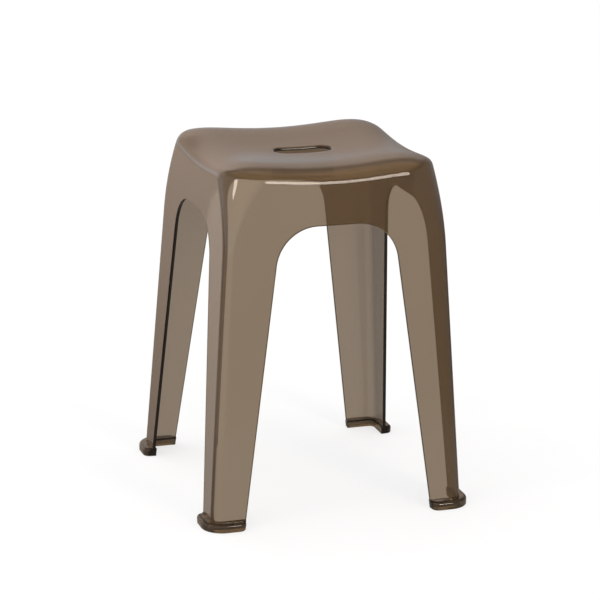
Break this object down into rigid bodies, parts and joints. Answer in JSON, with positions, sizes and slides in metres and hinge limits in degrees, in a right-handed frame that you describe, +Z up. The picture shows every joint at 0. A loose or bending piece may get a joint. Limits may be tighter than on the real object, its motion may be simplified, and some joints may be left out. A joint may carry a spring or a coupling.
{
  "type": "stacking stool",
  "caption": "Stacking stool moulded in clear smoke-brown plastic: dished square seat with a hand slot, arched sides, tapered angle legs and flanged foot shoes.",
  "frame": {"origin": "on the floor, below the middle of the seat", "axes": "+Z up, +X to the right along the hand slot, -Y towards the front"},
  "size_m": [0.363, 0.363, 0.4631],
  "materials": {
    "smoke_shell": "glossy see-through smoke-brown plastic",
    "smoke_foot": "glossy see-through smoke-brown plastic, thicker and darker"
  },
  "bodies": {
    "root": {"stool_shell": "smoke_shell", "foot_front_left": "smoke_foot", "foot_front_right": "smoke_foot", "foot_back_right": "smoke_foot", "foot_back_left": "smoke_foot"}
  },
  "joints": []
}
